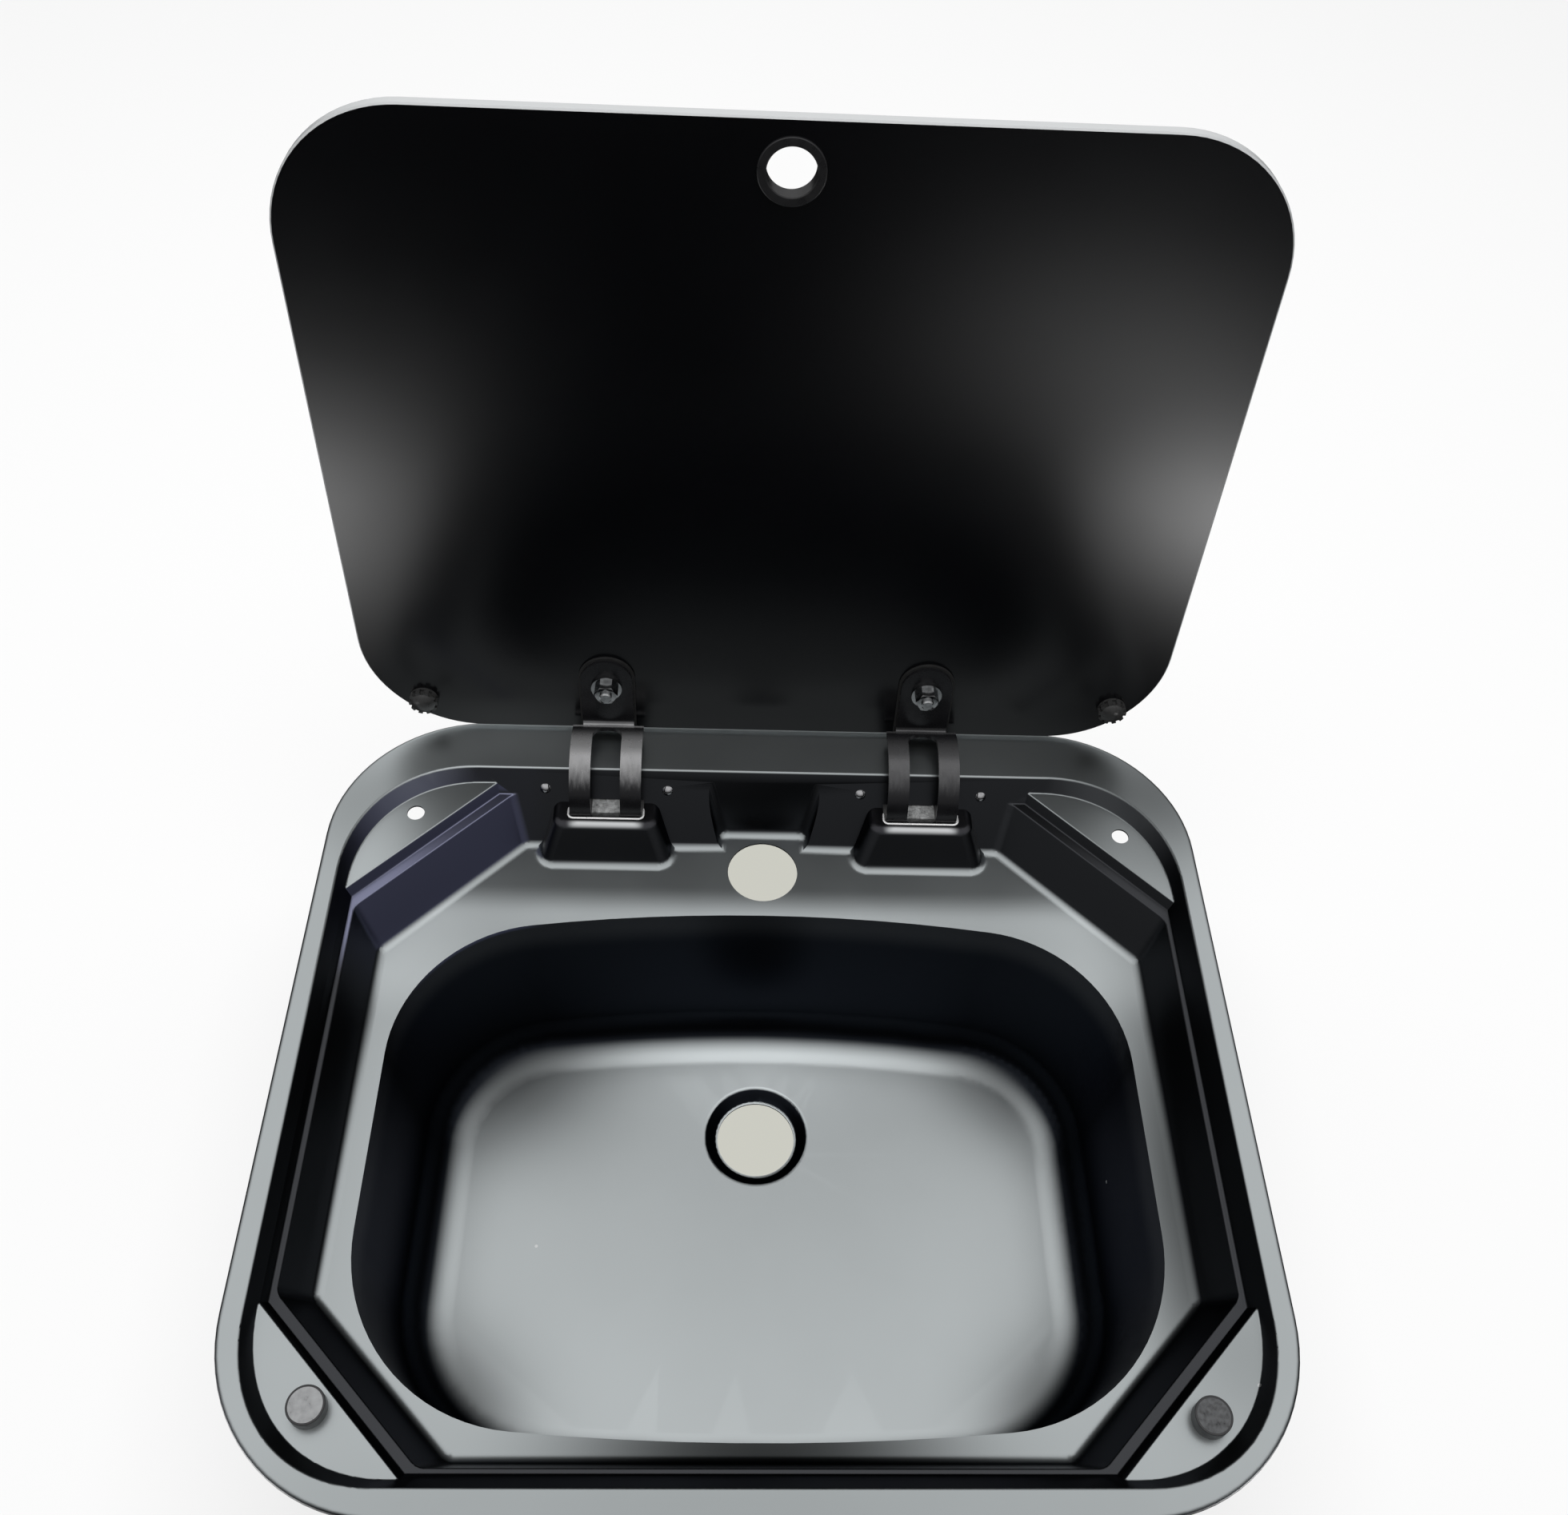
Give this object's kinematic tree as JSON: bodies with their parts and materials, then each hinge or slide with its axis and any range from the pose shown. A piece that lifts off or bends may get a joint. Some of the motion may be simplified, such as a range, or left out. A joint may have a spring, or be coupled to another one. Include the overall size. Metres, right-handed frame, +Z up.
{
  "type": "rv sink with glass lid",
  "caption": "Drop-in RV and caravan sink in black coated steel, with a hinged black glass lid, tap hole and drain hole.",
  "frame": {"origin": "centre of the flange outline, on the worktop surface that the flange seals on", "axes": "+Z up out of the worktop, +X to the user's right, -Y to the user, +Y to the hinges"},
  "size_m": [0.42, 0.4037, 0.456],
  "materials": {
    "coated_steel": "satin black coating",
    "foam_rubber": "closed-cell foam",
    "foot_rubber": "satin",
    "light_pad": "satin",
    "dark_pad": "grained",
    "plated_steel": "zinc plated",
    "black_rivets": "satin",
    "bearing_plastic": "smooth",
    "black_glass": "glossy black",
    "grommet_plastic": "satin",
    "bumper_rubber": "matte",
    "strap_paint": "satin black",
    "gasket_rubber": "matte",
    "raw_steel": "raw",
    "brass_bush": "machined",
    "bolt_steel": "dark plated",
    "clamp_paint": "satin black"
  },
  "bodies": {
    "root": {"basin": "coated_steel", "flange_seal": "foam_rubber", "front_foot_left": "foot_rubber", "front_foot_right": "foot_rubber", "foot_pad_left": "light_pad", "foot_pad_right": "dark_pad", "hinge_bracket_left": "plated_steel", "hinge_bracket_right": "plated_steel", "bracket_rivets": "black_rivets", "hinge_pin_left": "plated_steel", "hinge_pin_right": "plated_steel", "pin_clips": "plated_steel", "hinge_washers": "bearing_plastic", "splash_guard_left": "grommet_plastic", "splash_guard_right": "grommet_plastic"},
    "lid": {"glass_lid": "black_glass", "finger_grommet": "grommet_plastic", "lid_bumper_left": "bumper_rubber", "lid_bumper_right": "bumper_rubber", "hinge_arm_left": "strap_paint", "hinge_arm_right": "strap_paint", "arm_gasket_left": "gasket_rubber", "arm_gasket_right": "gasket_rubber", "hinge_knuckle_left": "raw_steel", "hinge_knuckle_right": "raw_steel", "arm_rivets": "black_rivets", "knuckle_bushes": "brass_bush", "lid_bolt_left": "bolt_steel", "lid_bolt_right": "bolt_steel", "clamp_disc_left": "clamp_paint", "clamp_disc_right": "clamp_paint", "disc_gaskets": "gasket_rubber", "lid_washers": "bolt_steel", "lid_nuts": "bolt_steel"}
  },
  "joints": [
    {"name": "lid_hinge", "type": "hinge", "parent": "root", "child": "lid", "pos_m": [0, 0.1632, -0.0125], "axis": [1, 0, 0], "range_deg": [0, 96.2]}
  ]
}
